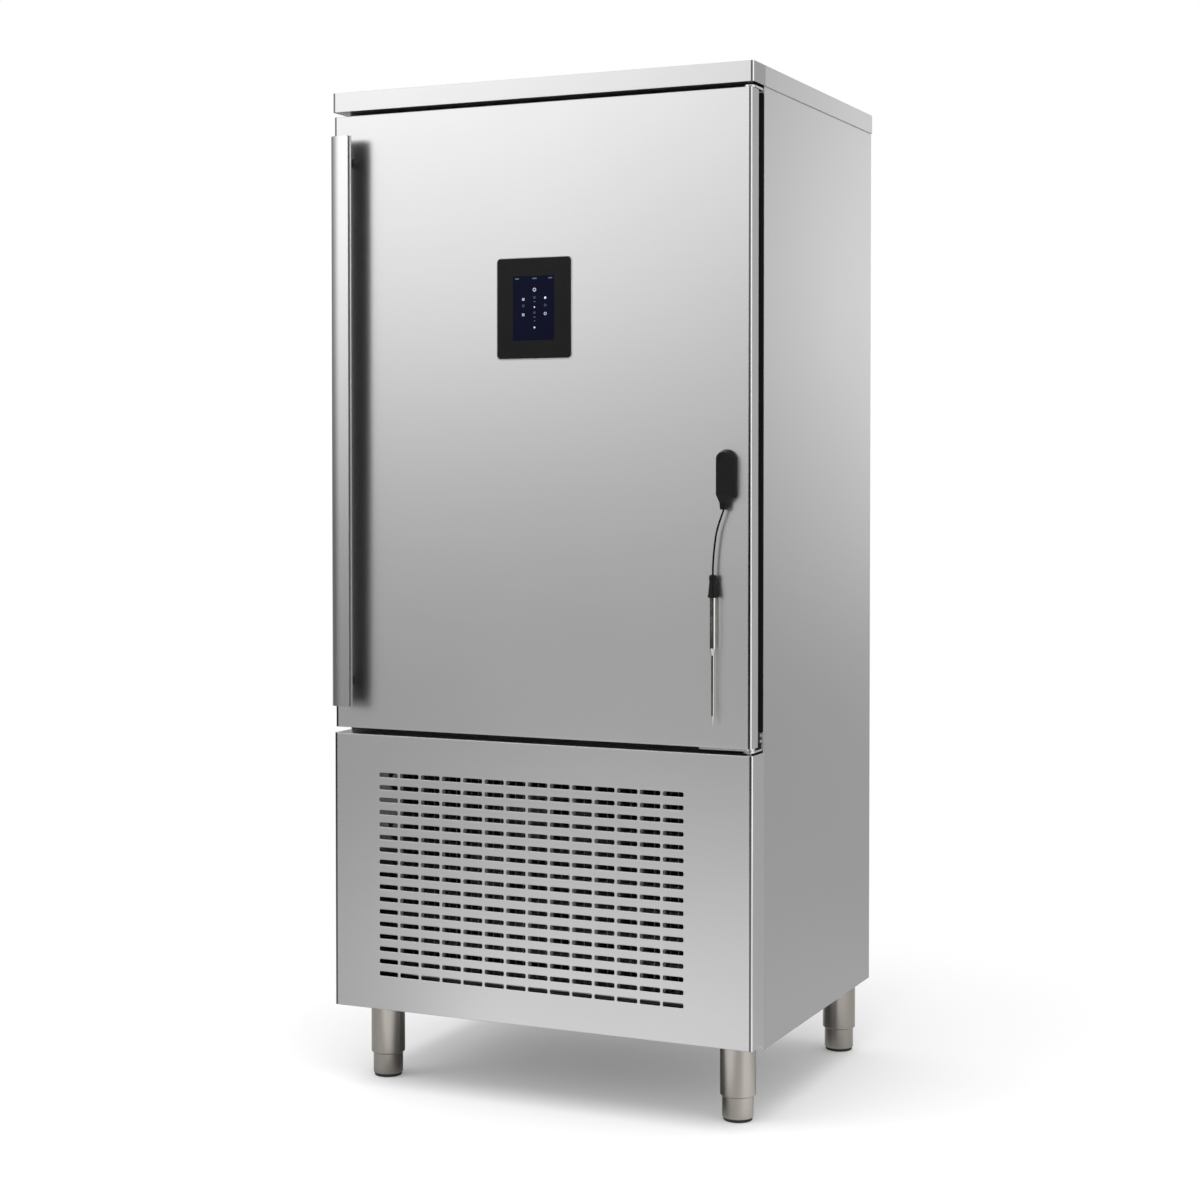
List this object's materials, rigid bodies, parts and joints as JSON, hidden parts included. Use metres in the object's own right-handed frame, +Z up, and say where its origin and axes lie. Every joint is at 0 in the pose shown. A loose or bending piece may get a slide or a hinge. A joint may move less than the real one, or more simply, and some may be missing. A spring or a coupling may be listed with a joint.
{
  "type": "blast chiller cabinet",
  "caption": "Upright stainless blast chiller with a full-height hinged door, touch display, core probe, slotted lower panel, tray racks and levelling feet.",
  "frame": {"origin": "on the floor under the feet, at the middle of the width and of the depth over the handle", "axes": "+Z up, the door faces -Y, +X towards the hinge side (the right, seen from the front)"},
  "size_m": [0.812, 0.69, 1.8],
  "materials": {
    "casing_steel": "fine vertical brushing, satin",
    "front_steel": "fine horizontal brushing, satin",
    "chamber_steel": "smooth 2B mill finish",
    "galvanised_sheet": "galvanised spangle, dull",
    "leg_steel": "satin turned tube",
    "black_rubber": "matte",
    "gasket_rubber": "soft matte",
    "foam": "open-pored rigid foam",
    "black_plastic": "fine-grained, matte",
    "black_enamel": "semi-gloss enamel",
    "fin_aluminium": "thin bare fins",
    "shroud_sheet": "black powder coat",
    "motor_housing": "grey enamel",
    "copper": "bare copper, slightly dulled",
    "box_plastic": "light grey moulded",
    "grey_plastic": "dark grey moulded",
    "guard_wire": "bright punched sheet",
    "hinge_steel": "polished plate",
    "handle_metal": "satin anodised",
    "housing_plastic": "moulded",
    "bezel_gloss": "glossy black",
    "screen_glass": "dark touch glass, lit symbols",
    "probe_steel": "polished stainless",
    "probe_plastic": "satin black moulded",
    "probe_lead": "smooth black sheath",
    "fan_plastic": "moulded glass-filled"
  },
  "bodies": {
    "cabinet": {"top_cover": "casing_steel", "top_fascia": "casing_steel", "left_side_panel": "casing_steel", "right_side_panel": "casing_steel", "back_panel": "casing_steel", "rear_grille": "casing_steel", "lower_front_panel": "front_steel", "opening_frame": "black_plastic", "insulation_shell": "foam", "chamber_liner": "chamber_steel", "casing_floor": "galvanised_sheet", "base_pan": "galvanised_sheet", "leg_tubes": "leg_steel", "compressor": "black_enamel", "compressor_mounts": "black_rubber", "condenser_coil": "fin_aluminium", "condenser_shroud": "shroud_sheet", "condenser_fan_motor": "motor_housing", "liquid_receiver": "black_enamel", "refrigerant_pipes": "copper", "electrical_box": "box_plastic", "evaporator_coil": "fin_aluminium", "fan_panel": "chamber_steel", "fan_guards": "guard_wire", "guard_pegs": "guard_wire", "chamber_fan_motors": "motor_housing", "left_tray_rack": "chamber_steel", "right_tray_rack": "chamber_steel", "top_hinge_bracket": "hinge_steel", "bottom_hinge_bracket": "hinge_steel", "drain_spigot": "grey_plastic", "cable_gland": "black_plastic"},
    "door": {"door_outer_panel": "front_steel", "door_insulation": "foam", "door_inner_panel": "chamber_steel", "door_edge_profile": "black_plastic", "door_gasket": "gasket_rubber", "handle_profile": "handle_metal", "handle_lining": "black_plastic", "handle_standoffs": "black_plastic", "display_housing": "housing_plastic", "display_bezel": "bezel_gloss", "display_screen": "screen_glass", "hinge_bushes": "hinge_steel", "probe_socket": "probe_steel"},
    "probe": {"probe_plug": "probe_plastic", "probe_cord": "probe_lead", "probe_grip": "probe_plastic", "probe_needle": "probe_steel"},
    "condenser_fan_rotor": {"condenser_fan": "fan_plastic"},
    "upper_fan_rotor": {"upper_chamber_fan": "fan_plastic"},
    "lower_fan_rotor": {"lower_chamber_fan": "fan_plastic"},
    "front_left_leveller": {"front_left_foot": "leg_steel", "front_left_pad": "black_rubber"},
    "front_right_leveller": {"front_right_foot": "leg_steel", "front_right_pad": "black_rubber"},
    "back_left_leveller": {"back_left_foot": "leg_steel", "back_left_pad": "black_rubber"},
    "back_right_leveller": {"back_right_foot": "leg_steel", "back_right_pad": "black_rubber"}
  },
  "joints": [
    {"name": "door_swing", "type": "hinge", "parent": "cabinet", "child": "door", "pos_m": [0.392, -0.285, 1.2], "axis": [0, 0, 1], "range_deg": [0, 115]},
    {"name": "probe_pull", "type": "slide", "parent": "door", "child": "probe", "axis": [0, -1, 0], "range_m": [0, 0.03]},
    {"name": "condenser_fan_spin", "type": "hinge", "parent": "cabinet", "child": "condenser_fan_rotor", "pos_m": [-0.01, -0.155, 0.38925], "axis": [0, 1, 0], "continuous": true},
    {"name": "upper_fan_spin", "type": "hinge", "parent": "cabinet", "child": "upper_fan_rotor", "pos_m": [0, 0.195, 1.42638], "axis": [0, 1, 0], "continuous": true},
    {"name": "lower_fan_spin", "type": "hinge", "parent": "cabinet", "child": "lower_fan_rotor", "pos_m": [0, 0.195, 0.97912], "axis": [0, 1, 0], "continuous": true},
    {"name": "front_left_level", "type": "slide", "parent": "cabinet", "child": "front_left_leveller", "axis": [0, 0, -1], "range_m": [0, 0.03]},
    {"name": "front_right_level", "type": "slide", "parent": "cabinet", "child": "front_right_leveller", "axis": [0, 0, -1], "range_m": [0, 0.03]},
    {"name": "back_left_level", "type": "slide", "parent": "cabinet", "child": "back_left_leveller", "axis": [0, 0, -1], "range_m": [0, 0.03]},
    {"name": "back_right_level", "type": "slide", "parent": "cabinet", "child": "back_right_leveller", "axis": [0, 0, -1], "range_m": [0, 0.03]}
  ]
}
